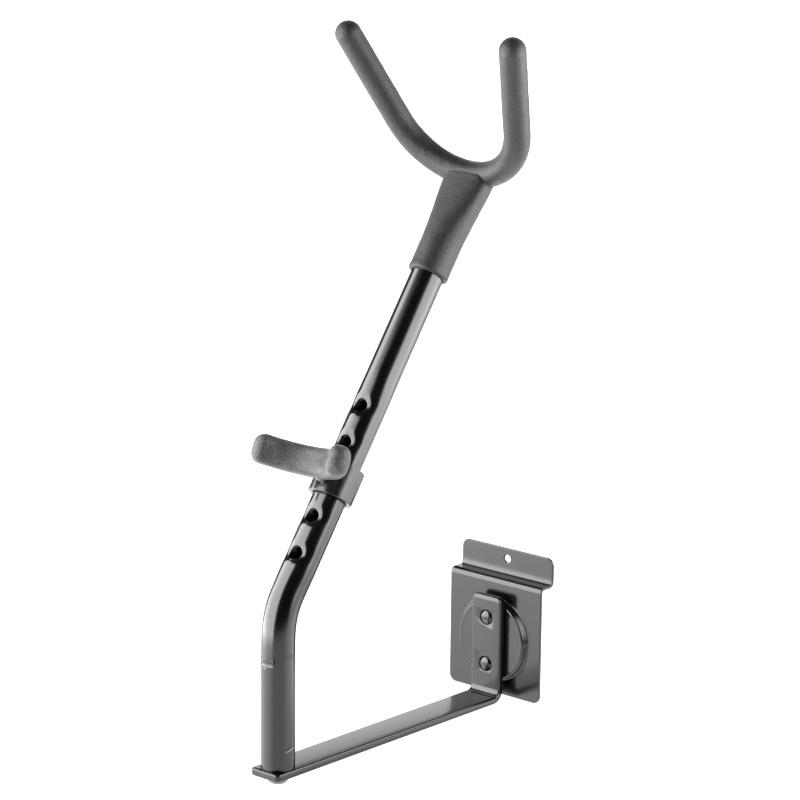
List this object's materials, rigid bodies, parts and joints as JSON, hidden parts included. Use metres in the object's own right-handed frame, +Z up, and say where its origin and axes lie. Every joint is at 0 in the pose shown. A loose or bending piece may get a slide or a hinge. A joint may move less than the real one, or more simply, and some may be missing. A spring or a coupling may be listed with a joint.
{
  "type": "slatwall saxophone display holder",
  "caption": "Wall-hooked holder that shows a saxophone upright: a covered fork on a bent tube takes the bell, a covered prong on a sliding collar takes the bow.",
  "frame": {"origin": "on the plate's flat back face where it meets the wall panel, on the centre line, 6.3 mm below the middle of the hook's step", "axes": "+X to the right seen from the room, +Y into the wall, +Z up"},
  "size_m": [0.1554, 0.2401, 0.4691],
  "materials": {
    "powder_coat": "satin black powder coat",
    "gloss_coat": "semi-gloss black coat",
    "foam_skin": "matte black foam with a fine open grain",
    "collar_plastic": "satin black moulded plastic",
    "zinc_steel": "bright zinc plate",
    "black_steel": "black oxide",
    "bare_steel": "bare steel, hidden"
  },
  "bodies": {
    "holder": {"slatwall_plate": "powder_coat", "bracket_bar": "powder_coat", "leg_rivet_upper": "powder_coat", "leg_rivet_lower": "powder_coat", "upright_tube": "gloss_coat", "foot_insert": "zinc_steel", "foot_lock_washer": "black_steel", "foot_screw": "black_steel", "fork_rod": "bare_steel", "fork_cover": "foam_skin", "neck_sleeve": "foam_skin"},
    "carriage": {"height_collar": "collar_plastic"},
    "prong": {"prong_stem": "zinc_steel", "prong_core": "bare_steel", "prong_pad": "foam_skin"}
  },
  "joints": [
    {"name": "height_slide", "type": "slide", "parent": "holder", "child": "carriage", "axis": [0, 0.5719, 0.8204], "range_m": [-0.052, 0.052]},
    {"name": "prong_turn", "type": "hinge", "parent": "carriage", "child": "prong", "pos_m": [0, -0.16265, 0.10339], "axis": [0, -0.8204, 0.5719], "continuous": true}
  ]
}
